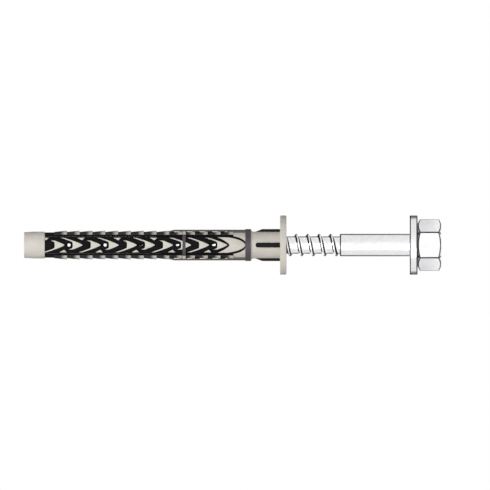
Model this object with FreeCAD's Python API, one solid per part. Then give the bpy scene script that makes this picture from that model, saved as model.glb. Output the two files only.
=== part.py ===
import FreeCAD
import Part
import math
import os

# A frame fixing as it is supplied: a nylon expansion sleeve with its hex-head screw
# and washer, the screw pushed in until its thread has taken hold.
# Millimetres. The fixing stands on its screw head: Z is its axis, upwards is towards the wall,
# and the origin is the middle of the head's end face. The side drawn as the front looks along -Y.

# Screw
across_flats = 14.0
hex_sides = 6
head_height = 7.4
head_face_diameter = 13.6
head_chamfer_angle = 30.0
shank_diameter = 7.0
shank_length = 21.8
screw_overrun = 5.0

# Screw thread, right-handed
thread_pitch = 3.6
thread_diameter = 7.0
core_diameter = 5.4
crest_width = 0.35
flank_angle = 30.0
thread_facets = 12
crest_at_front = 2.0
tip_length = 9.0
tip_core_diameter = 1.2
tip_thread_depth = 0.25

# Washer
washer_diameter = 18.5
washer_thickness = 2.5
washer_clearance = 0.2

# Sleeve: collar, neck and anchorage depth marks
sleeve_length = 80.0
collar_diameter = 18.5
collar_thickness = 2.0
neck_diameter = 8.4
drill_hole_diameter = 10.0
lead_in = 0.4
deep_mark = 10.0
shallow_mark = 30.0
deep_mark_width = 1.7
shallow_mark_width = 1.0
mark_step = 0.5

# Four fins under the collar that keep the sleeve from turning
fin_width = 1.5
fin_length = 5.6
fin_ramp = 2.0

# Expansion zone: four legs between four slots
zone_start = 14.6
nose_length = 6.5
nose_taper = 3.0
nose_diameter = 8.0
leg_floor_diameter = 7.9
slot_width = 0.5

# Arrow-shaped lamellas on the front and back legs, their points towards the head
arrow_diameter = 9.3
arrow_pitch = 5.65
arrow_slope = 23.0
arrow_reach = 2.25
arrow_core = 3.1
arrow_notch = 0.8
arrow_short_reach = 1.35
barb_reach = 1.5
barb_start = 4.95
barb_middle = 5.8
barb_end = 7.3
tongue_half_width = 2.3
tongue_length = 7.0
tongue_core = 4.9
tongue_facets = 4
peep_hole_width = 1.2
peep_hole_place = 4.25

# Teeth on the two side legs, and the rails that fill the drill hole
tooth_pitch = 4.0
tooth_diameter = 9.0
tooth_root_diameter = 8.2
tooth_facets = 30
rail_diameter = 9.6
rail_width = 3.4
rail_end = 33.0
rail_slope = 1.6
rail_spine = 1.5
rail_pocket_length = 2.2
rail_pocket_lean = 1.0
rail_pocket_floor = 7.5
rail_pocket_top = 9.2

# Room round the screw in the sleeve's bore, and how far the screw is from its seat as supplied
bore_clearance = 0.1
drive_travel = 38.5

# Cutting bodies run on past what they cut
spare = 1.0

full_turn = 360.0
slot_direction = 45.0
front_of_turn = -0.25
washer_seat = head_height
washer_top = washer_seat + washer_thickness
collar_face = washer_top + drive_travel
collar_seat = collar_face + collar_thickness
sleeve_end = collar_seat + sleeve_length
shoulder = washer_top + shank_length
screw_end = washer_top + collar_thickness + sleeve_length + screw_overrun
bore_radius = max(shank_diameter, thread_diameter) / 2 + bore_clearance
zone_end = sleeve_end - nose_length
leg_start = collar_seat + zone_start
lamella_root = leg_floor_diameter / 2 - spare / 2

axis_foot = FreeCAD.Vector(0, 0, 0)
axis_up = FreeCAD.Vector(0, 0, 1)


def turned(profile):
    """The solid turned about Z from an outline of (radius, height) points."""
    corners = [FreeCAD.Vector(radius, 0, height) for radius, height in profile]
    outline = Part.makePolygon(corners + corners[:1])
    return Part.Face(outline).revolve(axis_foot, axis_up, full_turn)


def cylinder(radius, bottom, top):
    return Part.makeCylinder(radius, top - bottom, FreeCAD.Vector(0, 0, bottom))


def ring(inner, outer, bottom, top):
    return cylinder(outer, bottom, top).cut(cylinder(inner, bottom - spare, top + spare))


def around(shape, count, first=0.0):
    """Copies of a shape, evenly spaced about Z."""
    copies = []
    for place in range(count):
        copy = shape.copy()
        copy.rotate(axis_foot, axis_up, first + full_turn * place / count)
        copies.append(copy)
    return copies


def facet(*corners):
    return Part.Face(Part.makePolygon([*corners, corners[0]]))


def threaded_rod(bottom, top):
    """The screw's threaded core from bottom to top, narrowing to its point over tip_length.

    A section of the thread follows the right-handed helix, and flat facets join it to the next one.
    The thread grows shallow along the tip.
    """
    rise = math.tan(math.radians(flank_angle))
    full_depth = (thread_diameter - core_diameter) / 2
    first_height = bottom - 2 * thread_pitch
    steps = math.ceil((top + 2 * thread_pitch - first_height) / thread_pitch) * thread_facets

    def section(step):
        height = first_height + thread_pitch * step / thread_facets
        turns = (height - bottom - crest_at_front) / thread_pitch + front_of_turn
        angle = math.tau * turns
        along_tip = min(max((height - top) / tip_length + 1, 0.0), 1.0)
        core = core_diameter / 2 + (tip_core_diameter - core_diameter) / 2 * along_tip
        depth = full_depth + (tip_thread_depth - full_depth) * along_tip
        half_root = crest_width / 2 + depth * rise
        points = []
        for radius, offset in (
            (core, -half_root), (core + depth, -crest_width / 2),
            (core + depth, crest_width / 2), (core, half_root),
        ):
            across, away = radius * math.cos(angle), radius * math.sin(angle)
            points.append(FreeCAD.Vector(across, away, height + offset))
        return points

    sections = [section(step) for step in range(steps + 1)]
    strips = []
    for low, high in zip(sections, sections[1:]):
        for corner in range(3):
            strips.append((low[corner], high[corner], low[corner + 1], high[corner + 1]))
    turn_later = sections[thread_facets:]
    for low, high, next_low, next_high in zip(sections, sections[1:], turn_later, turn_later[1:]):
        strips.append((low[3], high[3], next_low[0], next_high[0]))
    facets = []
    for here, along, over, across in strips:
        facets.append(facet(here, along, over))
        facets.append(facet(along, across, over))
    first, last = sections[0], sections[-1]
    foot_rim = [points[0] for points in sections[:thread_facets + 1]] + first[:0:-1]
    head_rim = [last[3], last[2], last[1], last[0]]
    head_rim += [points[3] for points in sections[-thread_facets - 1:-1]]
    for rim, level in ((foot_rim, first[0].z), (head_rim, last[3].z)):
        middle = FreeCAD.Vector(0, 0, level)
        for here, there in zip(rim, rim[1:] + rim[:1]):
            facets.append(facet(middle, here, there))
    shell = Part.makeShell(facets)
    shell.sewShape()
    rod = Part.makeSolid(shell)
    if rod.Volume < 0:
        rod.reverse()
    return rod.common(cylinder(thread_diameter, bottom, top))


def hex_head():
    """A hexagon with a corner on the X axis, its corners chamfered at both ends."""
    corner_radius = across_flats / 2 / math.cos(math.radians(full_turn / hex_sides / 2))
    corners = []
    for place in range(hex_sides):
        angle = math.radians(full_turn * place / hex_sides)
        corners.append(FreeCAD.Vector(math.cos(angle), math.sin(angle), 0) * corner_radius)
    prism = facet(*corners).extrude(axis_up * head_height)
    face_radius = head_face_diameter / 2
    out = corner_radius + spare
    drop = (out - face_radius) * math.tan(math.radians(head_chamfer_angle))
    return prism.common(turned([
        (0, 0), (face_radius, 0), (out, drop),
        (out, head_height - drop), (face_radius, head_height), (0, head_height),
    ]))


def screw():
    """One forged and rolled piece: head, plain shank, thinner threaded core and point."""
    shank = cylinder(shank_diameter / 2, head_height - spare, shoulder)
    return hex_head().fuse([shank, threaded_rod(shoulder, screw_end)])


def washer():
    """A plain round washer that lies under the head."""
    outer = washer_diameter / 2
    hole = shank_diameter / 2 + washer_clearance
    low, high = washer_seat, washer_top
    return turned([
        (hole, low), (outer, low), (outer, high), (hole, high),
    ])


def sleeve_blank():
    """The sleeve's turned form: collar, neck, both depth marks, leg floor and nose."""
    neck = neck_diameter / 2
    full = drill_hole_diameter / 2
    floor = leg_floor_diameter / 2
    collar = collar_diameter / 2
    nose = nose_diameter / 2
    mark_low = collar_seat + deep_mark - deep_mark_width / 2
    mark_high = mark_low + deep_mark_width
    band = arrow_diameter / 2
    band_low = collar_seat + shallow_mark - shallow_mark_width / 2
    band_high = band_low + shallow_mark_width
    return turned([
        (0, collar_face), (collar, collar_face), (collar, collar_seat), (neck, collar_seat),
        (neck, mark_low - mark_step), (full, mark_low), (full, mark_high),
        (neck, mark_high), (neck, leg_start), (floor, leg_start), (floor, band_low),
        (band, band_low), (band, band_high), (floor, band_high), (floor, zone_end),
        (neck, zone_end), (neck, sleeve_end - nose_taper), (nose, sleeve_end), (0, sleeve_end),
    ])


def fins():
    """Four narrow ribs that run up to the collar and slope down to the neck at their far end."""
    top = collar_seat + fin_length
    inside = bore_radius + spare / 2
    outline = [
        FreeCAD.Vector(inside, -fin_width / 2, collar_seat - spare),
        FreeCAD.Vector(drill_hole_diameter / 2, -fin_width / 2, collar_seat - spare),
        FreeCAD.Vector(drill_hole_diameter / 2, -fin_width / 2, top),
        FreeCAD.Vector(neck_diameter / 2, -fin_width / 2, top + fin_ramp),
        FreeCAD.Vector(inside, -fin_width / 2, top + fin_ramp),
    ]
    return around(facet(*outline).extrude(FreeCAD.Vector(0, fin_width, 0)), 4)


def tooth_ring(radius, height):
    """A polygon round the axis, because flat facets do for teeth as small as these."""
    corners = []
    for place in range(tooth_facets):
        angle = math.tau * place / tooth_facets
        corners.append(FreeCAD.Vector(radius * math.cos(angle), radius * math.sin(angle), height))
    return Part.makePolygon(corners + corners[:1])


def side_teeth():
    """Ring teeth on the two side legs, steep towards the head."""
    teeth = []
    for place in range(int((zone_end - leg_start) / tooth_pitch)):
        foot = leg_start + place * tooth_pitch
        crest = tooth_ring(tooth_diameter / 2, foot)
        root = tooth_ring(tooth_root_diameter / 2, foot + tooth_pitch)
        teeth.append(Part.makeLoft([crest, root], True, True))
    reach = drill_hole_diameter
    sector = facet(
        FreeCAD.Vector(0, 0, leg_start), FreeCAD.Vector(reach, -reach, leg_start),
        FreeCAD.Vector(reach, reach, leg_start),
    ).extrude(axis_up * (zone_end - leg_start))
    return [tooth.common(copy) for copy in around(sector, 2) for tooth in teeth]


def rails():
    """Two rails along the side legs that fill the drill hole, with leaning pockets in their flanks."""
    full = rail_diameter / 2
    start = collar_seat + deep_mark
    end = collar_seat + rail_end
    body = turned([
        (lamella_root, start), (full, start), (full, end),
        (tooth_diameter / 2, end + rail_slope), (lamella_root, end + rail_slope),
    ])
    slab = Part.makeBox(
        drill_hole_diameter, rail_width, end + rail_slope - start,
        FreeCAD.Vector(0, -rail_width / 2, start),
    )
    rail = body.common(slab)
    pockets = []
    foot = leg_start + tooth_pitch / 2
    low, high = rail_pocket_floor / 2, rail_pocket_top / 2
    while foot + rail_pocket_length + rail_pocket_lean < end:
        outline = facet(
            FreeCAD.Vector(low, 0, foot),
            FreeCAD.Vector(high, 0, foot + rail_pocket_lean),
            FreeCAD.Vector(high, 0, foot + rail_pocket_lean + rail_pocket_length),
            FreeCAD.Vector(low, 0, foot + rail_pocket_length),
        )
        for side in (-1, 1):
            pocket = outline.extrude(FreeCAD.Vector(0, side * rail_width, 0))
            pocket.translate(FreeCAD.Vector(0, side * rail_spine / 2, 0))
            pockets.append(pocket)
        foot += tooth_pitch
    return around(rail.cut(pockets), 2)


def front_plate(outline, inner, outer):
    """A shape drawn on the front as (sideways, height) points, raised between two radii."""
    depth = drill_hole_diameter / 2 + spare
    corners = [FreeCAD.Vector(sideways, -depth, height) for sideways, height in outline]
    plate = facet(*corners).extrude(FreeCAD.Vector(0, depth, 0))
    heights = [height for sideways, height in outline]
    return plate.common(ring(inner, outer, min(heights) - spare, max(heights) + spare))


def arrow_arm(reach, point, notch):
    """One side of an arrow from its swept edge in to the hollow behind it."""
    slope = math.tan(math.radians(arrow_slope))
    return [
        (reach, point + reach / slope), (reach, notch + (reach - arrow_notch) / slope),
        (arrow_notch, notch),
    ]


def mirrored(outline):
    return [(-sideways, height) for sideways, height in reversed(outline)]


def arrow_outline(point, right_reach, left_reach):
    """An arrow whose point is at the height point, with an arm on either side."""
    notch = point + arrow_core
    right_arm = arrow_arm(right_reach, point, notch)
    left_arm = arrow_arm(left_reach, point, notch)
    return [(0, point)] + right_arm + mirrored(left_arm)


def barb_outline(point, side):
    """A small separate barb past a short arm, beside the next arrow's point."""
    return [
        (side * barb_reach, point + barb_middle), (side * arrow_reach, point + barb_start),
        (side * arrow_reach, point + barb_end),
    ]


def tongue_outline(point):
    """The long rounded lamella next to the depth mark, an ogive with two trailing arms."""
    right = [(0, point)]
    for step in range(1, tongue_facets + 1):
        share = step / tongue_facets
        bulge = tongue_half_width * math.sqrt(1 - (1 - share) ** 2)
        right.append((bulge, point + tongue_length * share))
    arm = arrow_arm(arrow_reach, point + tongue_core - arrow_core, point + tongue_core)
    right += arm[1:]
    return right + mirrored(right[1:])


def front_arrows():
    """Heights of the arrows' points along one leg."""
    first = collar_seat + deep_mark + deep_mark_width / 2
    count = int((zone_end - first - arrow_core) / arrow_pitch)
    return [first + arrow_pitch * (place + 1) for place in range(count)]


def front_lamellas():
    """The tongue, the arrows and the barbs of the front leg.

    An arrow's long arm is on one side and the other by turns, and the second has two long arms.
    """
    points = front_arrows()
    outlines = [tongue_outline(points[0] - arrow_pitch)]
    reaches = [(arrow_reach, arrow_short_reach), (arrow_reach, arrow_reach)]
    while len(reaches) < len(points):
        reaches.append(reaches[0] if len(reaches) % 2 == 0 else reaches[0][::-1])
    for point, (right_reach, left_reach) in zip(points, reaches):
        outlines.append(arrow_outline(point, right_reach, left_reach))
        if right_reach < arrow_reach:
            outlines.append(barb_outline(point, 1))
        if left_reach < arrow_reach:
            outlines.append(barb_outline(point, -1))
    nose = cylinder(drill_hole_diameter, zone_end, sleeve_end + spare)
    return [front_plate(outline, lamella_root, arrow_diameter / 2).cut(nose) for outline in outlines]


def front_peep_holes():
    """Small holes behind every second arrow of the front leg, through which the screw shows."""
    holes = []
    for point in front_arrows()[:-1:2]:
        middle = point + peep_hole_place
        half = peep_hole_width / 2
        across = [(-half, middle), (0, middle - half), (half, middle), (0, middle + half)]
        holes.append(front_plate(across, peep_hole_width, drill_hole_diameter))
    return holes


def sleeve():
    """One nylon moulding."""
    raised = fins() + side_teeth() + rails()
    openings = []
    for lamella in front_lamellas():
        raised += around(lamella, 2)
    for hole in front_peep_holes():
        openings += around(hole, 2)
    body = sleeve_blank().fuse(raised)
    slot = Part.makeBox(
        drill_hole_diameter, slot_width, zone_end - leg_start,
        FreeCAD.Vector(0, -slot_width / 2, leg_start),
    )
    openings += around(slot, 4, slot_direction)
    bore = turned([
        (0, collar_face - spare), (bore_radius + lead_in + spare, collar_face - spare),
        (bore_radius, collar_face + lead_in), (bore_radius, sleeve_end + spare),
        (0, sleeve_end + spare),
    ])
    return body.cut(openings).cut(bore)


os.makedirs("parts", exist_ok=True)
for name, shape in (("expansion_sleeve", sleeve()), ("washer", washer()), ("hex_screw", screw())):
    shape.exportStep(f"parts/{name}.step")
    print(name, len(shape.Solids), shape.isValid(), round(shape.Volume, 1), len(shape.Faces))
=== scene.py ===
# %% [markdown]
# # A frame fixing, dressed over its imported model
#
# The object is a nylon expansion sleeve with a hex-head screw and a washer. It goes through a
# frame into masonry, and here the screw is only started in the sleeve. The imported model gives
# the exact sizes and the three bodies that move. This file gives each piece a smooth, finely
# edged mesh of the same size, with its own procedural material, and then sets up the studio.
#
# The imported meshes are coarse, because they carry physics. Their round parts would show facets,
# so each one is replaced by a mesh that is built here from the same sizes.

import math

import bmesh
import bpy
from mathutils import Matrix, Vector


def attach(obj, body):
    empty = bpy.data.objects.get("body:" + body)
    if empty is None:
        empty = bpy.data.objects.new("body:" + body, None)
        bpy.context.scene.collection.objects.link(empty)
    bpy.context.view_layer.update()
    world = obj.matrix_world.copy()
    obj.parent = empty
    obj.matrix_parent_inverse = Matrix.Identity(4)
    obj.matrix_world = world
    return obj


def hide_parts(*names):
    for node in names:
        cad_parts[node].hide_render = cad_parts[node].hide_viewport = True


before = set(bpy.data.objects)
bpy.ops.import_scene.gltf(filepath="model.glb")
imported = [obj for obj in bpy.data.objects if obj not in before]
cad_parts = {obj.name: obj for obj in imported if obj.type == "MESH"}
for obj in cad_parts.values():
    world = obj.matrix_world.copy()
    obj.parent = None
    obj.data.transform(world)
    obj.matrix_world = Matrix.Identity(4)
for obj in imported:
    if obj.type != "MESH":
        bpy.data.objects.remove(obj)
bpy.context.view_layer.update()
MM = 0.001

# %% [markdown]
# ## Sizes
#
# All sizes are in millimetres, as a maker's drawing has them. Z runs along the fixing from the
# end face of the screw's head, on which it stands, to the sleeve's tip. The heights and radii
# below are the ones that several pieces share. Naming them once keeps the pieces seated on each
# other. PLATE is the radius of collar and washer. ROOT is a radius inside the leg's floor, from
# which lamellas and teeth rise, so that none of them hangs above the floor.

# %% Shared heights and radii
HEAD_TOP = 7.4
WASHER_TOP = 9.9
SHOULDER = 31.7
SCREW_END = 96.9
COLLAR_FACE = 48.4
COLLAR_SEAT = 50.4
DEEP_MARK = (59.55, 61.25)
SHALLOW_MARK = (79.9, 80.9)
LEG_START = 65.0
ZONE_END = 123.9
SLEEVE_END = 130.4
PLATE = 9.25
SHANK = 3.5
BORE = 3.6
NECK = 4.2
ROOT = 3.7
LEG_FLOOR = 3.95
FULL = 5.0
LAMELLA_TOP = 4.65
TOOTH_TOP = 4.5
SLOT = 0.5
FLOOR_SLOT = 0.36
print("sleeve:", SLEEVE_END - COLLAR_SEAT, "mm long")
print("screw still to go:", COLLAR_FACE - WASHER_TOP, "mm")

# %% [markdown]
# ## From points to a clean mesh
#
# Every piece is made from lists of points. One helper turns points and faces into an object:
# it merges points that lie on each other, so seams and poles close, turns all faces outwards,
# and shades the faces smooth, with an edge kept sharp where two faces meet at a clear angle.
# Modelling by hand would do as well, but lists keep the sizes exact and easy to change.

# %% Helper: make an object


def in_scene(name, data):
    made = bpy.data.objects.new(name, data)
    bpy.context.scene.collection.objects.link(made)
    return made


def make_object(name, points, faces, sharp=32.0):
    mesh = bpy.data.meshes.new(name)
    mesh.from_pydata([Vector(point) * MM for point in points], [], faces)
    shape = bmesh.new()
    shape.from_mesh(mesh)
    bmesh.ops.remove_doubles(shape, verts=shape.verts, dist=0.0004 * MM)
    bmesh.ops.dissolve_degenerate(shape, edges=shape.edges, dist=0.0001 * MM)
    bmesh.ops.recalc_face_normals(shape, faces=shape.faces)
    shape.to_mesh(mesh)
    shape.free()
    mesh.shade_smooth()
    mesh.set_sharp_from_angle(angle=math.radians(sharp))
    return in_scene(name, mesh)


def triangles(made):
    return sum(len(face.vertices) - 2 for face in made.data.polygons)


# %% [markdown]
# A turned or rolled piece is a set of columns around Z. Each column is a line of (radius,
# height) points at one angle, and the column may differ from angle to angle. That is how one
# mesh holds a hexagon, a round shank and a helical thread with no join between them. A Screw
# modifier turns a profile too, but every angle would get the same one.

# %% Helper: skin over columns


def columns_skin(name, angles, column, sharp=32.0):
    points, faces = [], []
    for angle in angles:
        line = column(angle)
        points += [(r * math.cos(angle), r * math.sin(angle), z) for r, z in line]
    rows = len(line)
    for turn in range(len(angles) - 1):
        for row in range(rows - 1):
            here = turn * rows + row
            faces.append((here, here + rows, here + rows + 1, here + 1))
    return make_object(name, points, faces, sharp)


def spread(start, end, count):
    return [start + (end - start) * k / count for k in range(count + 1)]


def even_angles(count):
    return spread(0.0, math.tau, count)


# %% [markdown]
# A lamella, a tooth or a rib is a set of closed loops, each one a section across the piece.
# Joining each loop to the next and closing the two ends gives a solid. The same shapes could be
# cut from blocks with booleans, which easily leave slivers on such small parts.

# %% Helper: loft through closed loops


def loft(name, loops, sharp=32.0):
    points = [point for loop in loops for point in loop]
    size = len(loops[0])
    last = (len(loops) - 1) * size
    faces = [tuple(range(size)), tuple(last + k for k in reversed(range(size)))]
    for ring in range(len(loops) - 1):
        for corner in range(size):
            here, there = ring * size + corner, ring * size + (corner + 1) % size
            faces.append((here, there, there + size, here + size))
    return make_object(name, points, faces, sharp)


# %% [markdown]
# ## Materials
#
# Two effects are used by more than one material, so each is a node group. The first is the
# fine relief of a moulded surface, a soft mottling with a slight change of sheen. The second is
# the skin of bright zinc: tiny crystals, some brighter than others, and fine turning marks.
# Nodes could be copied into each material, but then a change would be needed in every copy.

# %% Helpers: short ways to add and join nodes


def feed(node, inputs):
    """Fill inputs of a node, each with a constant or with the output of another node."""
    for name, value in inputs.items():
        if isinstance(value, bpy.types.NodeSocket):
            node.id_data.links.new(value, node.inputs[name])
        else:
            node.inputs[name].default_value = value


def add(tree, kind, place, inputs=None, **settings):
    node = tree.nodes.new(kind)
    node.location = place
    for name, value in settings.items():
        setattr(node, name, value)
    feed(node, inputs or {})
    return node


def maths(tree, operation, place, *values):
    """The output of a Math node."""
    inputs = dict(enumerate(values))
    return add(tree, "ShaderNodeMath", place, inputs, operation=operation).outputs[0]


def ranged(tree, place, value, to=(0.0, 1.0), span=(0.0, 1.0), **settings):
    """The output of a Map Range node, which carries the span over to another one."""
    inputs = {"Value": value, "From Min": span[0], "From Max": span[1],
              "To Min": to[0], "To Max": to[1]}
    return add(tree, "ShaderNodeMapRange", place, inputs, **settings).outputs["Result"]


def scaled(tree, place, vector, factor):
    """The output of a Vector Math node that scales a colour."""
    inputs = {0: vector, "Scale": factor}
    return add(tree, "ShaderNodeVectorMath", place, inputs, operation="SCALE").outputs[0]


def new_group(name, inputs, outputs, kind="ShaderNodeTree"):
    """A node group, and the sockets of its input node."""
    tree = bpy.data.node_groups.new(name, kind)
    for label, what, value in inputs:
        socket = tree.interface.new_socket(label, in_out="INPUT", socket_type="NodeSocket" + what)
        if value is not None:
            socket.default_value = value
    for label, what in outputs:
        tree.interface.new_socket(label, in_out="OUTPUT", socket_type="NodeSocket" + what)
    return tree, add(tree, "NodeGroupInput", (-1100, 0)).outputs


SKIN = [("Color", "Color"), ("Roughness", "Float"), ("Height", "Float")]
print("what a skin group gives:", [label for label, what in SKIN])

# %% Node group: moulded grain


def moulded_grain_group():
    tree, entry = new_group("Moulded grain", [
        ("Grain size", "Float", 2600.0), ("Mottling", "Float", 0.06),
        ("Base", "Color", (0.6, 0.57, 0.5, 1.0))], SKIN)
    place = add(tree, "ShaderNodeTexCoord", (-1100, -250)).outputs["Object"]
    grain = add(tree, "ShaderNodeTexNoise", (-600, -200),
                {"Vector": place, "Scale": entry["Grain size"], "Detail": 3.0})
    clouds = add(tree, "ShaderNodeTexNoise", (-600, 100),
                 {"Vector": place, "Scale": 180.0, "Detail": 4.0}).outputs["Fac"]
    swing = ranged(tree, (-350, 100), clouds, to=(-1.0, 1.0), span=(0.3, 0.7))
    amount = maths(tree, "MULTIPLY_ADD", (-150, 100), swing, entry["Mottling"], 1.0)
    add(tree, "NodeGroupOutput", (500, 0), {
        "Color": scaled(tree, (80, 100), entry["Base"], amount),
        "Roughness": ranged(tree, (80, -120), clouds, to=(0.42, 0.58)),
        "Height": grain.outputs["Fac"]})
    return tree


moulded_grain = moulded_grain_group()
print("group:", moulded_grain.name, len(moulded_grain.nodes), "nodes")

# %% Node group: zinc skin


def zinc_skin_group():
    tree, entry = new_group("Zinc skin", [
        ("Crystal size", "Float", 900.0), ("Turning marks", "Float", 0.4),
        ("Base", "Color", (0.8, 0.8, 0.82, 1.0))], SKIN)
    place = add(tree, "ShaderNodeTexCoord", (-1100, -300)).outputs["Object"]
    crystals = add(tree, "ShaderNodeTexVoronoi", (-650, 150),
                   {"Vector": place, "Scale": entry["Crystal size"]})
    flow = add(tree, "ShaderNodeMapping", (-820, -300),
               {"Vector": place, "Scale": (60.0, 60.0, 4200.0)}).outputs["Vector"]
    marks = add(tree, "ShaderNodeTexNoise", (-600, -300),
                {"Vector": flow, "Scale": 1.0, "Detail": 4.0}).outputs["Fac"]
    flake = ranged(tree, (-400, 200), crystals.outputs["Color"], to=(0.95, 1.03))
    add(tree, "NodeGroupOutput", (600, 0), {
        "Color": scaled(tree, (-150, 200), entry["Base"], flake),
        "Roughness": ranged(tree, (-150, 0), marks, to=(0.13, 0.24)),
        "Height": maths(tree, "MULTIPLY", (-150, -250), marks, entry["Turning marks"])})
    return tree


zinc_skin = zinc_skin_group()
print("group:", zinc_skin.name, len(zinc_skin.nodes), "nodes")

# %% [markdown]
# The finishes differ only in colour, gloss and strength of relief. So one function makes each
# material from a skin group, and a Bump node turns the group's height into relief. True relief
# this fine would take millions of faces.

# %% Helper: a material with one of the skins


def new_material(name):
    material = bpy.data.materials.new(name)
    material.use_nodes = True
    return material, material.node_tree, material.node_tree.nodes["Principled BSDF"]


def skinned(name, group, values, strength, depth, extra):
    """A Principled material that takes its colour, sheen and relief from a skin group.

    The values go to the group, and the extra ones straight to the shader.
    """
    material, tree, shader = new_material(name)
    skin = add(tree, "ShaderNodeGroup", (-700, 0), values, node_tree=group).outputs
    relief = add(tree, "ShaderNodeBump", (-300, -300),
                 {"Height": skin["Height"], "Strength": strength, "Distance": depth * MM})
    feed(shader, {"Base Color": skin["Color"], "Roughness": skin["Roughness"],
                  "Normal": relief.outputs["Normal"], **extra})
    return material


# %% [markdown]
# The sleeve is one moulding of warm grey nylon. The drawing shows the floors between its
# lamellas almost black, because little light reaches them. Along the legs the colour therefore
# follows the distance from the axis: what stands proud keeps the nylon's colour, and what lies
# deep is dark. Painting each face would work too, but this mask also shades within a face. It is
# fixed to the object, so it stays put from every side.

# %% Material: nylon
# Along the legs, nylon that lies below these radii is painted near black: painted shade.
DARK_BELOW = (4.30, 4.46)


def moulded(name, base, mottling, gloss, bump=0.3):
    values = {"Base": (*base, 1.0), "Mottling": mottling}
    return skinned(name, moulded_grain, values, bump, 0.02, {"Specular IOR Level": gloss})


def nylon_material():
    material = moulded("nylon", (0.61, 0.577, 0.515), 0.05, 0.2, bump=0.35)
    tree = material.node_tree
    target = tree.nodes["Principled BSDF"].inputs["Base Color"]
    colour = target.links[0].from_socket
    place = add(tree, "ShaderNodeTexCoord", (-1500, 350)).outputs["Object"]
    split = add(tree, "ShaderNodeSeparateXYZ", (-1300, 350), {0: place}).outputs
    flat = add(tree, "ShaderNodeCombineXYZ", (-1100, 450), {"X": split["X"], "Y": split["Y"]})
    radius = add(tree, "ShaderNodeVectorMath", (-900, 450), {0: flat.outputs[0]},
                 operation="LENGTH").outputs["Value"]
    deep = ranged(tree, (-700, 450), radius, to=(1.0, 0.0),
                  span=[limit * MM for limit in DARK_BELOW], interpolation_type="SMOOTHSTEP")
    low = maths(tree, "GREATER_THAN", (-900, 250), split["Z"], (LEG_START - 0.05) * MM)
    high = maths(tree, "LESS_THAN", (-900, 100), split["Z"], (ZONE_END + 0.05) * MM)
    zone = maths(tree, "MULTIPLY", (-700, 200), low, high)
    mask = maths(tree, "MULTIPLY", (-500, 350), deep, zone)
    # This mix is the painted shade: the deep parts of lamellas and teeth turn near black.
    paint = add(tree, "ShaderNodeMix", (-280, 250), data_type="RGBA",
                inputs={"Factor": mask, "A": colour, "B": (0.012, 0.011, 0.012, 1.0)})
    tree.links.new(paint.outputs["Result"], target)
    return material


nylon = nylon_material()
marking = moulded("marking_grey", (0.062, 0.054, 0.060), 0.10, 0.3)
# Near black for the fins: painted shade on nylon that is really the sleeve's own grey.
fin_painted_shade = moulded("fin_painted_shade", (0.009, 0.008, 0.009), 0.10, 0.05)
# A darker grey-brown for the rails' lip and root: painted shade on the sleeve's nylon.
rail_painted_shade = moulded("rail_painted_shade", (0.135, 0.125, 0.115), 0.08, 0.1)
# Near black for the leg floors and the tongue's border: painted shade, not a colour of the nylon.
recess_painted_shade = moulded("recess_painted_shade", (0.008, 0.007, 0.008), 0.10, 0.04)
finishes = (nylon, marking, fin_painted_shade, rail_painted_shade, recess_painted_shade)
print("sleeve finishes:", [material.name for material in finishes])

# %% [markdown]
# Bright zinc plating is a true metal: its colour is the colour of what it mirrors, a little
# blurred. The skin group varies the tint from crystal to crystal and lays fine rings round the
# axis, as cold forging and turning leave them. A painted grey would stay the same from every
# side, and it is the change in the reflection that makes an eye see metal.

# %% Material: bright zinc


def zinc_material(name, base, marks):
    values = {"Base": (*base, 1.0), "Turning marks": marks}
    return skinned(name, zinc_skin, values, 0.25, 0.012, {"Metallic": 1.0})


zinc_screw = zinc_material("zinc_screw", (0.83, 0.83, 0.84), 0.5)
zinc_washer = zinc_material("zinc_washer", (0.80, 0.80, 0.81), 0.9)
# A darker zinc for painted shade on the flanks and edges of screw and washer.
zinc_painted_shade = zinc_material("zinc_painted_shade", (0.07, 0.07, 0.08), 0.5)
print("metals:", zinc_screw.name, zinc_washer.name, zinc_painted_shade.name)

# %% [markdown]
# ## The screw
#
# The screw is forged and rolled from one piece of wire, so it is one skin of columns: end face,
# chamfer, hexagon, chamfer, shank, thread and point. The head's chamfer is a cone, and the
# radius of the hexagon changes from angle to angle, so the cone cuts the flats in the curved
# lines that every hex head shows. The six upright edges get a small radius. FLATS is the width
# over the flats, and FACE the radius of the round end face inside the chamfer.

# %% The hexagon's outline
FLATS = 14.0
FACE = 6.8
CORNER_ROUND = 0.35
NEAR_CORNER = [0.0, 0.4, 0.8, 1.25, 2.0]
CHAMFER = math.tan(math.radians(30))


def hex_radius(angle):
    """Distance from the axis to the hexagon's side, with a corner at angle 0."""
    off_flat = (angle + math.pi / 6) % (math.pi / 3) - math.pi / 6
    off_corner = abs(off_flat)
    apothem = FLATS / 2
    centre = (apothem - CORNER_ROUND) / math.cos(math.pi / 6)
    tangent = math.pi / 6 - math.atan((apothem - CORNER_ROUND) * math.tan(math.pi / 6) / apothem)
    if off_corner < tangent:
        reach = (centre * math.sin(off_corner)) ** 2
        return centre * math.cos(off_corner) + math.sqrt(CORNER_ROUND**2 - reach)
    return apothem / math.cos(math.pi / 6 - off_corner)


def screw_angles():
    """Columns are close together at the six corners and evenly spaced along the flats."""
    along = [4.0 + 3.25 * step for step in range(17)]
    offsets = NEAR_CORNER + along + [60.0 - x for x in reversed(NEAR_CORNER[1:])]
    turn = [60.0 * corner + x for corner in range(6) for x in offsets]
    return [math.radians(x) for x in turn] + [math.tau]


print("corner radius", round(hex_radius(0), 2), "flat radius", round(hex_radius(math.pi / 6), 2))

# %% [markdown]
# The thread is right-handed. Its rows climb with the angle, so every row is one helix and the
# crest stays crisp. Rows that would start below the shoulder, or pass the point, are held at
# that height, where the radius is worked out from the thread itself, and the helper merges what
# falls together. The thread fades in behind the shoulder and grows shallow along the point.
# CREST_AT is a crest's height on the front, and FRONT says where that is, in turns from +X.

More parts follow.
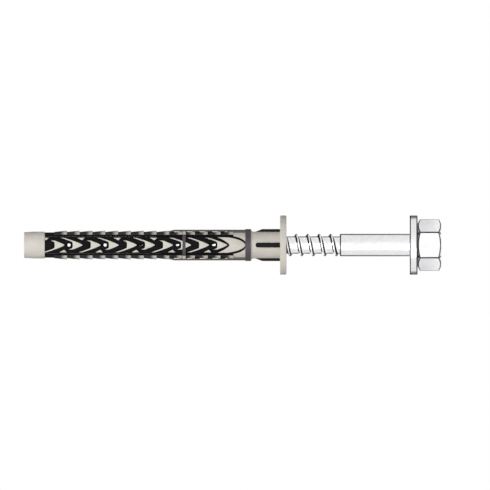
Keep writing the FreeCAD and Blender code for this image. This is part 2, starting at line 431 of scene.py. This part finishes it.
# %% The thread's radius
PITCH = 3.6
CORE = 2.7
DEPTH = 0.8
TIP_LENGTH = 9.0
TIP_CORE = 0.6
TIP_DEPTH = 0.25
RUN_IN = 0.7
CREST_AT = SHOULDER + 2.0
FRONT = -0.25
SECTION = [(-1.8, 0.0), (-0.86, 0.0), (-0.68, 0.04), (-0.58, 0.14), (-0.25, 0.88), (-0.19, 0.97),
           (-0.1, 1.0), (0.1, 1.0), (0.19, 0.97), (0.25, 0.88), (0.58, 0.14), (0.68, 0.04),
           (0.86, 0.0), (1.8, 0.0)]


def section_height(place):
    for (a, low), (b, high) in zip(SECTION, SECTION[1:]):
        if a <= place <= b:
            return low + (high - low) * (place - a) / (b - a)
    return 0.0


def crest_height(angle):
    return CREST_AT + PITCH * (angle / math.tau - FRONT)


def thread_section(angle, height):
    """How far the thread stands out here, from 0 on the core to 1 on the crest."""
    place = (height - crest_height(angle) + PITCH / 2) % PITCH - PITCH / 2
    return section_height(place)


def thread_radius(angle, height):
    along_tip = min(max((height - SCREW_END) / TIP_LENGTH + 1, 0.0), 1.0)
    run_in = min(max((height - SHOULDER) / RUN_IN, 0.0), 1.0)
    core = CORE + (TIP_CORE - CORE) * along_tip
    depth = DEPTH + (TIP_DEPTH - DEPTH) * along_tip
    return core + depth * run_in * thread_section(angle, height)


def thread_rows(angle):
    rows = []
    for turn in range(-3, 21):
        for place, _ in SECTION[:-1]:
            height = crest_height(angle) + PITCH * turn + place
            rows.append(min(max(height, SHOULDER), SCREW_END))
    return rows


print("thread:", round(2 * (CORE + DEPTH), 2), "mm over the crests,", len(thread_rows(0.0)), "rows")

# %% [markdown]
# Now the column itself, from the end face up to the tip. The chamfers' points are written once
# and mirrored for the head's other side. Each edge that forging leaves round gets extra points,
# because a perfectly sharp edge catches no light and looks artificial.

# %% Screw mesh
HEAD_ROUND = 0.16
RIM_DEPTH = 0.3
SHOULDER_ROUND = 0.4


def screw_column(angle):
    side = hex_radius(angle)
    cut = (side - FACE) * CHAMFER
    rim = [(FACE + 0.08, 0.09 * CHAMFER + 0.02),
           (max(side - HEAD_ROUND, FACE + 0.09), max(cut - HEAD_ROUND * CHAMFER, 0.075)),
           (side - 0.02, cut + 0.05), (side, cut + RIM_DEPTH)]
    line = [(0.0, 0.0), (3.0, 0.0), (FACE - 0.25, 0.0), (FACE - 0.08, 0.015)] + rim
    line += [(r, HEAD_TOP - z) for r, z in reversed(rim)]
    line += [(FACE - 0.08, HEAD_TOP - 0.015), (FACE - 0.25, HEAD_TOP)]
    line += [(SHANK + 0.15, HEAD_TOP), (SHANK + 0.03, HEAD_TOP + 0.04), (SHANK, HEAD_TOP + 0.16)]
    line += [(SHANK, z) for z in (WASHER_TOP, 15.0, 20.0, 26.0, SHOULDER - SHOULDER_ROUND)]
    line += [(SHANK - 0.02, SHOULDER - 0.12), (SHANK - 0.1, SHOULDER)]
    line += [(thread_radius(angle, z), z) for z in thread_rows(angle)]
    line += [(TIP_CORE * 0.7, SCREW_END), (0.0, SCREW_END)]
    return line


screw = columns_skin("screw_skin", screw_angles(), screw_column, sharp=28.0)
screw.data.materials.append(zinc_screw)
screw.data.materials.append(zinc_painted_shade)
print("screw:", triangles(screw), "triangles")

# %% [markdown]
# Bright metal on white has little contrast, so the edges that the drawing inks are given
# painted shade, a darker tone of the same zinc: the thread's flanks, the shoulder, the upright
# edges of the hexagon and the rims of its chamfers.

# %% Darker flanks and edges


def is_edge(middle):
    """True for the centre of a face that lies on a flank or an edge of the screw."""
    reach = math.hypot(middle.x, middle.y)
    angle = math.atan2(middle.y, middle.x) % math.tau
    if middle.z > SHOULDER + 0.05:
        return 0.1 < thread_section(angle, middle.z) < 0.95
    if middle.z > HEAD_TOP or reach < FACE:
        return middle.z > SHOULDER - SHOULDER_ROUND
    off_corner = abs((math.degrees(angle) + 30.0) % 60.0 - 30.0)
    depth = min(middle.z, HEAD_TOP - middle.z) - (hex_radius(angle) - FACE) * CHAMFER
    return off_corner < NEAR_CORNER[-1] or -0.1 < depth < RIM_DEPTH


for face in screw.data.polygons:
    face.material_index = int(is_edge(face.center / MM))
print("darker faces:", sum(face.material_index for face in screw.data.polygons))

# %% [markdown]
# ## The washer
#
# A plain washer is stamped from plate, so its edges are slightly rounded and its faces are
# flat. A cylinder with a boolean hole and a bevel would come close, but a closed profile that is
# turned round the axis gives hole, faces and roundings in one go. The helper first rounds the
# profile's corners. The washer's two outer rims get the darker metal.

# %% Helper: round the corners of a profile


def rounded(profile, radius, steps=4):
    """The closed profile with each marked corner turned into a small arc.

    A point is (radius, height, share), and share is how much of the rounding it gets.
    """
    line = []
    count = len(profile)
    for k, (r, z, share) in enumerate(profile):
        here = Vector((r, z))
        if share == 0:
            line.append((r, z))
            continue
        before = (Vector(profile[k - 1][:2]) - here).normalized()
        after = (Vector(profile[(k + 1) % count][:2]) - here).normalized()
        angle = before.angle(after)
        size = radius * share
        reach = size / math.tan(angle / 2)
        centre = here + (before + after).normalized() * (size / math.sin(angle / 2))
        start, end = here + before * reach - centre, here + after * reach - centre
        for step in range(steps + 1):
            arm = start.lerp(end, step / steps).normalized() * size
            line.append(tuple(centre + arm))
    return line + line[:1]


# %% Washer mesh
EDGE_ROUND = 0.25
RIM = 0.4
HOLE = SHANK + 0.2
washer_profile = rounded([
    (HOLE, HEAD_TOP, 1), (PLATE, HEAD_TOP, 1), (PLATE, HEAD_TOP + RIM, 0),
    (PLATE, WASHER_TOP - RIM, 0), (PLATE, WASHER_TOP, 1), (HOLE, WASHER_TOP, 1)], EDGE_ROUND)
washer = columns_skin("washer_skin", even_angles(128), lambda angle: washer_profile)
washer.data.materials.append(zinc_washer)
washer.data.materials.append(zinc_painted_shade)
# The washer's two outer rims get the darker zinc: painted shade.
for face in washer.data.polygons:
    middle = face.center / MM
    from_face = min(middle.z - HEAD_TOP, WASHER_TOP - middle.z)
    face.material_index = int(0.01 < from_face < RIM and middle.xy.length > PLATE - EDGE_ROUND)
print("washer:", triangles(washer), "triangles")

# %% [markdown]
# ## The sleeve's round forms
#
# Collar, neck, depth-mark ring and nose are round, so they are turned too. The bore runs
# through all of them. One closed profile from the collar to the start of the legs leaves no seam
# between the forms, as in a moulding. The ring that marks the deeper anchorage is a second
# material on the same skin: the faces that lie in its height range get it.

# %% Sleeve shell mesh
shell_profile = rounded([
    (BORE + 0.4, COLLAR_FACE, 0.2), (PLATE, COLLAR_FACE, 1), (PLATE, COLLAR_SEAT, 1),
    (NECK, COLLAR_SEAT, 0.7), (NECK, DEEP_MARK[0] - 0.5, 0.3), (FULL, DEEP_MARK[0], 0.4),
    (FULL, DEEP_MARK[1], 0.4), (NECK, DEEP_MARK[1], 0.2), (NECK, LEG_START, 0),
    (BORE, LEG_START, 0), (BORE, COLLAR_FACE + 0.4, 0)], EDGE_ROUND)
nose_profile = rounded([
    (BORE, ZONE_END, 0), (NECK, ZONE_END, 0.6), (NECK, SLEEVE_END - 3.0, 0),
    (NECK - 0.2, SLEEVE_END, 0.6), (BORE, SLEEVE_END, 0.3)], EDGE_ROUND)
shell = columns_skin("sleeve_shell", even_angles(120), lambda angle: shell_profile)
nose = columns_skin("sleeve_nose", even_angles(120), lambda angle: nose_profile)
for part in (shell, nose):
    part.data.materials.append(nylon)
shell.data.materials.append(marking)
for face in shell.data.polygons:
    middle = face.center / MM
    in_mark = DEEP_MARK[0] - 0.1 < middle.z < DEEP_MARK[1] + 0.02
    face.material_index = int(in_mark and middle.xy.length > NECK + 0.1)
print("shell:", triangles(shell), "nose:", triangles(nose))

# %% [markdown]
# ## What repeats on the sleeve
#
# Legs, lamellas, teeth, rails, marks and fins all repeat around the sleeve, and the teeth and
# the rails' webs along it too. One Geometry Nodes tree does both. It sets the piece it is given
# on a line of points along Z, and then sets that row on a second list of points that only turn.
# Its inputs are the numbers on a drawing: how many, how far apart and how turned. Array
# modifiers could repeat the pieces too, but to turn them they need an extra empty object.

# %% Geometry Nodes: a row, repeated around the axis


def row_tree():
    tree, entry = new_group("Row around the axis", [
        ("Geometry", "Geometry", None), ("Along", "Int", 1), ("Pitch", "Float", 0.004),
        ("Around", "Int", 1), ("First turn", "Float", 0.0), ("Material", "Material", None)],
        [("Geometry", "Geometry")], "GeometryNodeTree")
    step = add(tree, "ShaderNodeCombineXYZ", (-700, -200), {"Z": entry["Pitch"]})
    line = add(tree, "GeometryNodeMeshLine", (-500, -100),
               {"Count": entry["Along"], "Offset": step.outputs[0]})
    row = add(tree, "GeometryNodeInstanceOnPoints", (-250, 100),
              {"Points": line.outputs["Mesh"], "Instance": entry["Geometry"]})
    turns = add(tree, "GeometryNodeMeshLine", (-250, -250),
                {"Count": entry["Around"], "Offset": (0.0, 0.0, 0.0)})
    number = add(tree, "GeometryNodeInputIndex", (-500, -450)).outputs[0]
    share = maths(tree, "DIVIDE", (-300, -500), number, entry["Around"])
    angle = maths(tree, "MULTIPLY_ADD", (-100, -500), share, math.tau, entry["First turn"])
    turned = add(tree, "ShaderNodeCombineXYZ", (50, -450), {"Z": angle})
    ring = add(tree, "GeometryNodeInstanceOnPoints", (200, 0), {
        "Points": turns.outputs["Mesh"], "Instance": row.outputs["Instances"],
        "Rotation": turned.outputs[0]})
    real = add(tree, "GeometryNodeRealizeInstances", (450, 0),
               {"Geometry": ring.outputs["Instances"]})
    finish = add(tree, "GeometryNodeSetMaterial", (680, 0),
                 {"Geometry": real.outputs["Geometry"], "Material": entry["Material"]})
    add(tree, "NodeGroupOutput", (900, 0), {"Geometry": finish.outputs["Geometry"]})
    return tree


row_around = row_tree()
print("tree:", row_around.name, len(row_around.nodes), "nodes")

# %% [markdown]
# The tree runs as a modifier on a template, and its result is kept as a plain mesh. Several
# results can then be joined to one piece, which keeps the list of moving pieces short.

# %% Helper: run the tree on a template


def repeated(template, material, along=1, pitch=0.0, around=1, first_turn=0.0):
    """A plain mesh object with the template repeated, in place of the template."""
    modifier = template.modifiers.new("row", "NODES")
    modifier.node_group = row_around
    values = {"Along": along, "Pitch": pitch * MM, "Around": around,
              "First turn": math.radians(first_turn), "Material": material}
    for item in row_around.interface.items_tree:
        if item.in_out == "INPUT" and item.name in values:
            modifier[item.identifier] = values[item.name]
    depsgraph = bpy.context.evaluated_depsgraph_get()
    mesh = bpy.data.meshes.new_from_object(template.evaluated_get(depsgraph))
    template.modifiers.remove(modifier)
    name = template.name
    bpy.data.objects.remove(template)
    mesh.name = name
    return in_scene(name, mesh)


def joined(name, parts):
    """One mesh object from several."""
    whole = bmesh.new()
    materials = []
    for part in parts:
        for material in part.data.materials:
            if material not in materials:
                materials.append(material)
    mesh = bpy.data.meshes.new(name)
    for part in parts:
        slots = [materials.index(material) for material in part.data.materials]
        start = len(whole.faces)
        whole.from_mesh(part.data)
        whole.faces.ensure_lookup_table()
        for face in whole.faces[start:]:
            face.material_index = slots[min(face.material_index, len(slots) - 1)]
        bpy.data.objects.remove(part)
    whole.to_mesh(mesh)
    whole.free()
    for material in materials:
        mesh.materials.append(material)
    return in_scene(name, mesh)


# %% [markdown]
# ## Legs
#
# Four slots part the expansion zone into four legs. A leg's section is a piece of a ring whose
# two sides are parallel to the slots, so its half angle grows with the radius. The section runs
# from the neck to the nose, and sinks a little into both, so no gap shows. Slots could be cut
# from a tube instead, but this way the mesh stays even and simple enough for the next cut.

# %% Leg sections


def on_leg(radius, share, height, middle=-math.pi / 2, slot=SLOT):
    """A point on a leg: share runs from -1 at one slot to 1 at the other.

    The slots have parallel sides, so the leg's half angle grows with the radius.
    """
    angle = middle + share * (math.pi / 4 - math.asin(slot / 2 / radius))
    return (radius * math.cos(angle), radius * math.sin(angle), height)


def leg_floor():
    shares = spread(-1.0, 1.0, 16)
    loops = []
    for height in (LEG_START - 0.1, ZONE_END + 0.1):
        outer = [on_leg(LEG_FLOOR, share, height, slot=FLOOR_SLOT) for share in shares]
        inner = [on_leg(BORE, share, height, slot=FLOOR_SLOT) for share in reversed(shares)]
        loops.append(outer + inner)
    return loft("leg_floor", loops)


# The floors are near black: painted shade in the hollows between lamellas and teeth.
legs = repeated(leg_floor(), recess_painted_shade, around=4)
print("legs:", triangles(legs), "triangles")

# %% [markdown]
# Small round holes pass through the front and back legs behind every second lamella, and the
# bright screw shows through them. Here a boolean is the simplest way, as a round hole in a
# curved floor is hard to loft. It works best on plain shapes, so the floors are cut before
# anything stands on them.

# %% Peep holes
ARROW_PITCH = 5.65
ARROW_HOLLOW = 3.1
FIRST_POINT = DEEP_MARK[1]
ARROWS = int((ZONE_END - FIRST_POINT - ARROW_HOLLOW) / ARROW_PITCH)
POINTS = [FIRST_POINT + ARROW_PITCH * (k + 1) for k in range(ARROWS)]
HOLE_AT = 4.25
HOLE_RADIUS = 0.5


def peep_cutters():
    points, faces = [], []
    sides = 20
    for height in [point + HOLE_AT for point in POINTS[:-1:2]]:
        start = len(points)
        for depth in (-8.0, 8.0):
            for angle in even_angles(sides)[:-1]:
                across, up = HOLE_RADIUS * math.cos(angle), HOLE_RADIUS * math.sin(angle)
                points.append((across, depth, height + up))
        ring = list(range(start, start + sides))
        far = [k + sides for k in ring]
        faces += [tuple(ring), tuple(reversed(far))]
        for k in range(sides):
            after = (k + 1) % sides
            faces.append((ring[k], far[k], far[after], ring[after]))
    return make_object("peep_cutters", points, faces)


cutters = peep_cutters()
cut = legs.modifiers.new("holes", "BOOLEAN")
cut.object = cutters
cut.operation = "DIFFERENCE"
cut.solver = "EXACT"
depsgraph = bpy.context.evaluated_depsgraph_get()
cut_mesh = bpy.data.meshes.new_from_object(legs.evaluated_get(depsgraph))
legs.modifiers.clear()
legs.data = cut_mesh
bpy.data.objects.remove(cutters)
print("legs with holes:", triangles(legs), "triangles")

# %% [markdown]
# ## Arrow lamellas
#
# The front and back legs carry arrow-shaped lamellas that point to the head. Each one is a thin
# plate bent round the leg, with a full point, a hollow behind it and two trailing arms. Most
# have one long and one short arm, and past the short arm stands a small separate barb.
#
# An outline that is only extruded would give flat plates, and these are bent. So a lamella is
# lofted across the leg: at each place sideways, a section runs up its front edge,
# over the rounded top and down its back edge. The front edge and the back edge are two simple
# curves, so the whole shape follows from them. ARM is an arm's thickness along the sleeve, which
# shrinks outwards by ARM_TAPER. BARB_AT is how far behind the arrow's point its barb starts.

# %% Lamella sections
LONG, SHORT = 2.27, 1.4
ARM = 1.45
ARM_TAPER = 0.16
TOP_ROUND = 0.12
BARB_AT = 5.75
BARB_GAP = 0.1


def front_edge(sideways):
    """How far behind the point the front edge lies at this place sideways."""
    reach = math.sqrt(sideways * sideways + 0.02) - math.sqrt(0.02)
    return 2.1 * reach + 0.25 * reach**2.2


def back_edge(sideways):
    """The same for the back edge: a round hollow, and arms that grow thin outwards."""
    reach = abs(sideways)
    arm = front_edge(sideways) + ARM - ARM_TAPER * reach
    hollow = ARROW_HOLLOW + 0.35 * max(reach - 0.3, 0.0) ** 2
    return max(arm, hollow) if reach < 1.2 else arm


def bent(sideways, height, radius):
    """A point at this place sideways, on the front at this radius from the axis."""
    return (sideways, -math.sqrt(max(radius * radius - sideways * sideways, 0.0)), height)


def plate_section(sideways, low, high, top=LAMELLA_TOP):
    """A closed section from low to high, cut short at the nose, with its top edges rounded."""
    high = min(high, ZONE_END)
    edge = min(TOP_ROUND, 0.4 * (high - low))
    slope = 0.3 * edge
    line = [(low, ROOT), (low, top - edge), (low + slope, top - slope), (low + edge, top)]
    line += [(high - edge, top), (high - slope, top - slope), (high, top - edge), (high, ROOT)]
    return [bent(sideways, height, radius) for height, radius in line]


def arrow(name, point, left, right):
    loops = []
    for sideways in spread(-left, right, 36):
        low, high = point + front_edge(sideways), point + back_edge(sideways)
        loops.append(plate_section(sideways, low, high))
    return loft(name, loops)


def barb(name, point, side):
    """The small separate barb past a short arm, beside the next arrow's point."""
    loops = []
    first = SHORT + BARB_GAP
    for share in spread(0.0, 1.0, 6):
        sideways = side * (first + (LONG - first) * share)
        low = point + BARB_AT - 0.8 * share
        high = point + BARB_AT + 0.1 + 1.45 * share
        loops.append(plate_section(sideways, low, high))
    return loft(name, loops)


print("arrow arms end", round(front_edge(LONG), 2), "mm behind the point")

# %% [markdown]
# By turns, the long arm is on one side and on the other, and the second arrow from the head has
# two long arms. The last arrow is cut short where the nose starts. As they aren't all alike,
# each one is lofted at its own place, and the tree adds its twin on the back leg.

# %% Rows of arrows
parts = []
for k, point in enumerate(POINTS):
    right = LONG if k % 2 == 0 or k == 1 else SHORT
    left = LONG if k % 2 == 1 else SHORT
    parts.append(repeated(arrow(f"arrow_{k}", point, left, right), nylon, around=2))
    for side, arm in ((1, right), (-1, left)):
        if arm == SHORT:
            parts.append(repeated(barb(f"barb_{k}", point, side), nylon, around=2))
print("arrows along a leg:", len(POINTS))

# %% [markdown]
# Next to the deep mark stands the tongue, a long rounded lamella like the bow of a boat. Its
# back edge is hollow round the first arrow's point. It is lofted like an arrow, with two curves
# of its own, and the slices lie closer together at its sides, where the front edge is steep.

# %% Tongue
TONGUE_LENGTH = 7.6
TONGUE_HOLLOW = 4.95
TONGUE_HALF = 2.42
TONGUE_REACH = 2.5


def tongue_front(sideways):
    share = min(abs(sideways) / TONGUE_REACH, 1.0)
    return TONGUE_LENGTH * (1 - math.sqrt(1 - share**2)) ** 0.92


def tongue_back(sideways):
    hollow = TONGUE_HOLLOW + 0.9 * max(abs(sideways) - 0.25, 0.0) ** 1.3
    return max(hollow, tongue_front(sideways) + 0.15)


loops = []
for share in spread(-1.0, 1.0, 48):
    sideways = TONGUE_HALF * math.sin(share * math.pi / 2)
    low = FIRST_POINT + tongue_front(sideways)
    high = FIRST_POINT + tongue_back(sideways) + 1.4 * abs(share)
    loops.append(plate_section(sideways, low, high))
parts.append(repeated(loft("tongue", loops), nylon, around=2))
lamellas = joined("front_lamellas", parts)
print("lamellas:", triangles(lamellas), "triangles")

# %% [markdown]
# The leg floors are painted near black as shade, but the tongue starts on the pale neck. A thin
# dark border, BORDER wide, follows its front edge there: a painted shadow line, so the tongue
# stays readable right up to the deep mark.

# %% Dark border round the tongue
BORDER = 0.7
BORDER_HALF = 2.7
loops = []
for share in spread(-1.0, 1.0, 48):
    sideways = BORDER_HALF * math.sin(share * math.pi / 2)
    low = FIRST_POINT - 0.1 + tongue_front(max(abs(sideways) - BORDER, 0.0))
    loops.append(plate_section(sideways, low, LEG_START + 0.4, top=NECK + 0.03))
# The border is a near-black strip on the neck: a painted shadow line.
border = repeated(loft("tongue_border", loops), recess_painted_shade, around=2)
print("border:", triangles(border), "triangles")

# %% [markdown]
# ## Teeth, rails and marks
#
# The two side legs have rings of barbs, steep towards the head, so the sleeve grips and can't
# be pulled out. A turned ring of teeth would need the slots cut out again. So one tooth is
# lofted across a leg like a slice of a cone, and the tree repeats it both ways. Its thin end
# sinks a hair into the next tooth, so the two solids overlap and share no face.

# %% Side teeth
TOOTH_PITCH = 4.0
TEETH = int((ZONE_END - LEG_START) / TOOTH_PITCH)


def leg_loft(name, line, middle=-math.pi / 2):
    """A section of (radius, height) points, lofted across a leg from slot to slot."""
    loops = []
    for share in spread(-1.0, 1.0, 16):
        loops.append([on_leg(radius, share, height, middle) for radius, height in line])
    return loft(name, loops)


def tooth():
    end = LEG_START + TOOTH_PITCH + 0.02
    line = [(ROOT, LEG_START), (TOOTH_TOP - 0.12, LEG_START), (TOOTH_TOP - 0.03, LEG_START + 0.04),
            (TOOTH_TOP, LEG_START + 0.14), (4.1, end), (ROOT, end)]
    return leg_loft("side_tooth", line, middle=0.0)


teeth = repeated(tooth(), nylon, along=TEETH, pitch=TOOTH_PITCH, around=2)
print("teeth:", TEETH, "a leg,", triangles(teeth), "triangles")

# %% [markdown]
# Near the head, a rail on each side leg nearly fills the drill hole. It has a spine in its
# middle, a thin lip along its top, leaning webs between the pockets in its flanks, and a short
# solid root at its near end. The pockets are what the pieces leave open, so none has to be cut.

# %% Rails
RAIL_START, RAIL_END, RAIL_TIP = 60.4, 83.4, 85.0
RAIL_HALF = 1.7
RAIL_TOP = 4.8
LIP_BASE = 4.3
SPINE_HALF = 0.75
SPINE_TOP = 4.7
WEB_TOP = 4.42


def bar(name, half, inner, outer, end, slope, material):
    """A bar along each side leg, with its top on a circle, a flat base and a sloping far end."""
    loops = []
    for height, top in ((RAIL_START, outer), (end, outer), (end + slope, TOOTH_TOP - 0.1)):
        loop = [(math.sqrt(top**2 - y**2), y, height) for y in spread(-half, half, 8)]
        base = min(inner, loop[0][0] - 0.1)
        loop += [(base, half, height), (base, -half, height)]
        loops.append(loop)
    return repeated(loft(name, loops), material, around=2)


def web(name, side):
    """A leaning block between two pockets on one flank of the rail."""
    loops = []
    start = LEG_START + 0.2
    for across in (side * 0.6, side * (RAIL_HALF - 0.05)):
        line = [(ROOT, 0.0), (WEB_TOP, 0.8), (WEB_TOP, 2.6), (ROOT, 1.8)]
        loops.append([(x, across, start + z) for x, z in line])
    return loft(name, loops)


# The lip and the root get the darker grey-brown: painted shade on the rail's sides.
rail_parts = [
    bar("rail_spine", SPINE_HALF, BORE, SPINE_TOP, RAIL_END, 1.0, nylon),
    bar("rail_lip", RAIL_HALF, LIP_BASE, RAIL_TOP, RAIL_END, RAIL_TIP - RAIL_END, rail_painted_shade),
    bar("rail_root", RAIL_HALF, BORE, SPINE_TOP, LEG_START + 2.0, 0.0, rail_painted_shade),
]
for side in (-1, 1):
    rail_parts.append(repeated(web("rail_web", side), nylon, along=5, pitch=TOOTH_PITCH, around=2))
rails = joined("side_rails", rail_parts)
print("rails:", triangles(rails), "triangles")

# %% [markdown]
# The shallower anchorage depth is marked by a narrow band round the legs, open at the slots. Only
# the front and back legs, which the drawing shows, have it in the marking grey. A band that
# stands proud is lofted like a tooth, because a mark that is only painted would catch no light.

# %% Shallow mark


def band():
    top = LAMELLA_TOP + 0.02
    low, high = SHALLOW_MARK
    return leg_loft("shallow_mark", [(ROOT, low), (top, low), (top, high), (ROOT, high)])


mark = joined("shallow_mark", [
    repeated(band(), marking, around=2), repeated(band(), nylon, around=2, first_turn=90.0)])
print("mark:", triangles(mark), "triangles")

# %% [markdown]
# Four fins under the collar keep the sleeve from turning. Each one slopes down to the neck and
# has a round end. It is lofted across, and a slice is shorter the further out it lies. Its long
# edges could be rounded in the loft as well, but a Bevel modifier does it with no extra points
# to write. It runs before the fin is repeated around, so it is worked out once.

# %% Fins
FIN_HALF = 0.75
FIN_LENGTH = 5.6
FIN_SLOPE = 2.4
FIN_ROUND = 0.25


def fin():
    start = COLLAR_SEAT - 0.3
    foot = NECK - 0.15
    loops = []
    for share in spread(-1.0, 1.0, 12):
        turn = share * math.pi / 2
        top = COLLAR_SEAT + FIN_LENGTH - FIN_HALF * (1 - math.cos(turn))
        line = [(foot, start), (FULL, start), (FULL, top), (foot, top + FIN_SLOPE)]
        loops.append([(r, FIN_HALF * math.sin(turn), z) for r, z in line])
    made = loft("turn_fins", loops)
    bevel = made.modifiers.new("edges", "BEVEL")
    bevel.width = FIN_ROUND * MM
    bevel.segments = 4
    return made


# The fins are the sleeve's nylon; their near-black colour is painted shade.
fins = repeated(fin(), fin_painted_shade, around=4)
print("fins:", triangles(fins), "triangles")

# %% [markdown]
# ## Riding on the bodies
#
# The imported model has three bodies that move: sleeve, washer and screw. Each new piece rides on
# its body, and the imported node of each body is hidden. Parents and keyframes could
# move them too, but then this file would have to know the poses.

# %% Ride and replace
for piece in (shell, nose, legs, lamellas, border, teeth, rails, mark, fins):
    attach(piece, "sleeve")
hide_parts("expansion_sleeve")
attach(washer, "washer")
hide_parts("washer")
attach(screw, "screw")
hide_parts("hex_screw")

# %% [markdown]
# ## Studio
#
# The fixing stands on its head on a plain pale floor. The drawing shows it lying, head to the
# right, so the camera looks along +Y and is rolled: +Z points to the left of the picture and +X
# points up. It is orthographic, as the drawing is.

# %% [markdown]
# A round bar in an all-white room has no visible outline, so whoever photographs bright metal
# sets a dark flag behind it: near its outline, a round surface mirrors what lies behind it. Here
# the flag is a stretch of the world and of the floor on the far side of the object, and only
# reflections see it. Both need the same mask, so it is a node group. It takes a direction or a
# place, looks only at its level part, and is 1 where that points to +Y.

# %% Node group: dark flag
FLAG_EDGE = (0.42, 0.80)
FLAG_DARKNESS = 0.97


def dark_flag_group():
    tree, entry = new_group(
        "Dark flag", [("Vector", "Vector", (0.0, 0.0, 0.0))], [("Flag", "Float")])
    level = add(tree, "ShaderNodeVectorMath", (-700, 0),
                {0: entry["Vector"], 1: (1.0, 1.0, 0.0)}, operation="MULTIPLY")
    unit = add(tree, "ShaderNodeVectorMath", (-500, 0), {0: level.outputs[0]},
               operation="NORMALIZE")
    split = add(tree, "ShaderNodeSeparateXYZ", (-300, 0), {0: unit.outputs[0]})
    stretch = ranged(tree, (-100, 0), split.outputs["Y"], span=FLAG_EDGE,
                     interpolation_type="SMOOTHSTEP")
    add(tree, "NodeGroupOutput", (300, 0), {"Flag": stretch})
    return tree


def flagged(tree, vector, seen_by, place):
    """A value that is 1, or close to 0 where a reflection sees the dark flag."""
    x, y = place
    flag = add(tree, "ShaderNodeGroup", place, {"Vector": vector}, node_tree=dark_flag)
    mirrored = maths(tree, "MULTIPLY", (x + 200, y), flag.outputs[0], seen_by["Is Glossy Ray"])
    return maths(tree, "MULTIPLY_ADD", (x + 400, y), mirrored, -FLAG_DARKNESS, 1.0)


def seen_directly(tree, seen_by, place):
    """1 for rays from the camera, from a mirror-like surface or through a clear one."""
    x, y = place
    camera_ray, clear_ray = seen_by["Is Camera Ray"], seen_by["Is Transmission Ray"]
    either = maths(tree, "MAXIMUM", place, camera_ray, clear_ray)
    return maths(tree, "MAXIMUM", (x + 200, y), either, seen_by["Is Glossy Ray"])


dark_flag = dark_flag_group()
print("group:", dark_flag.name, len(dark_flag.nodes), "nodes")

# %% [markdown]
# The floor lies a hair below the head, so the two faces don't share a plane. A white floor would
# throw too much light on the object. So its own colour is a mid grey, which keeps the shadow
# soft, and a glow that only the camera and reflections see lifts it to the background's white.

# %% Floor


def floor_material():
    material, tree, shader = new_material("pale_floor")
    place = add(tree, "ShaderNodeTexCoord", (-1100, 0)).outputs["Object"]
    noise = add(tree, "ShaderNodeTexNoise", (-900, 100), {"Vector": place, "Scale": 30.0})
    seen_by = add(tree, "ShaderNodeLightPath", (-1100, -300)).outputs
    left = flagged(tree, place, seen_by, (-900, -150))
    direct = seen_directly(tree, seen_by, (-850, -400))
    lift = maths(tree, "MULTIPLY", (-400, -350), direct, 0.6)
    feed(shader, {
        "Roughness": 0.8,
        "Base Color": ranged(tree, (-700, 100), noise.outputs["Fac"], to=(0.54, 0.56)),
        "Emission Color": (1.0, 1.0, 1.0, 1.0),
        "Emission Strength": maths(tree, "MULTIPLY", (-200, -300), lift, left)})
    return material


bpy.ops.mesh.primitive_plane_add(size=3.0, location=(0, 0, -0.02 * MM))
floor = bpy.context.object
floor.name = "studio_floor"
floor.data.materials.append(floor_material())
print("floor size:", tuple(floor.dimensions))

# %% [markdown]
# The world is a weak, even light from all sides. The camera sees it white, and so do
# reflections, apart from the dark flag.

# %% World


def studio_world():
    world = bpy.data.worlds.new("studio")
    world.use_nodes = True
    sky = world.node_tree
    sky.nodes.clear()
    seen_by = add(sky, "ShaderNodeLightPath", (-900, 200)).outputs
    direction = add(sky, "ShaderNodeTexCoord", (-900, -300)).outputs["Generated"]
    ambient = add(sky, "ShaderNodeBackground", (-100, 0),
                  {"Color": (0.93, 0.95, 1.0, 1.0), "Strength": 0.22})
    left = flagged(sky, direction, seen_by, (-700, -300))
    white = add(sky, "ShaderNodeBackground", (-100, -150),
                {"Color": (1.0, 1.0, 1.0, 1.0), "Strength": left})
    direct = seen_directly(sky, seen_by, (-700, 200))
    mix = add(sky, "ShaderNodeMixShader", (150, 0),
              {0: direct, 1: ambient.outputs[0], 2: white.outputs[0]})
    add(sky, "ShaderNodeOutputWorld", (350, 0), {"Surface": mix.outputs[0]})
    return world


bpy.context.scene.world = studio_world()
print("world:", bpy.context.scene.world.name)

# %% [markdown]
# Four small area lamps do the rest. Key and fill stand on the camera's side, a third lights the
# back and a fourth the top, so that every side can be seen. A sun would cast harder shadows.
# The lamps are weak enough for a colour to render about as it is written.

# %% Lights
MIDDLE = Vector((0.0, 0.0, 0.06))
LAMPS = {
    "key": ((0.06, -0.60, 0.30), 0.3, 2.3),
    "fill": ((-0.28, -0.50, 0.16), 0.4, 0.9),
    "back": ((-0.05, 0.60, 0.35), 0.4, 1.9),
    "top": ((0.0, -0.05, 0.75), 0.4, 1.0),
}
for name, (place, size, power) in LAMPS.items():
    lamp = bpy.data.lights.new(name, "AREA")
    lamp.shape = "SQUARE"
    lamp.size = size
    lamp.energy = power
    made = in_scene(name, lamp)
    made.location = place
    made.rotation_euler = (MIDDLE - Vector(place)).to_track_quat("-Z", "Y").to_euler()
print("lamps:", list(LAMPS))

# %% [markdown]
# The camera's scale and place come from the drawing: how many millimetres a pixel is, and at
# which pixels the collar's seat and the axis lie. That fits better than framing by eye.

# %% Camera
PIXEL = 0.3125
PICTURE = 490
COLLAR_SEAT_AT = 280.04
AXIS_AT = 245.05
camera_data = bpy.data.cameras.new("side_view")
camera_data.type = "ORTHO"
camera_data.ortho_scale = PICTURE * PIXEL * MM
camera_data.clip_end = 5.0
along = COLLAR_SEAT + (COLLAR_SEAT_AT - PICTURE / 2) * PIXEL
above = (AXIS_AT - PICTURE / 2) * PIXEL
turn = Matrix(((0, 1, 0), (0, 0, -1), (-1, 0, 0))).to_4x4()
camera = in_scene("side_view", camera_data)
camera.matrix_world = Matrix.Translation(Vector((above, -400.0, along)) * MM) @ turn
bpy.context.scene.camera = camera
bpy.context.scene.view_settings.view_transform = "Standard"
print("camera at", tuple(round(x, 4) for x in camera.location))
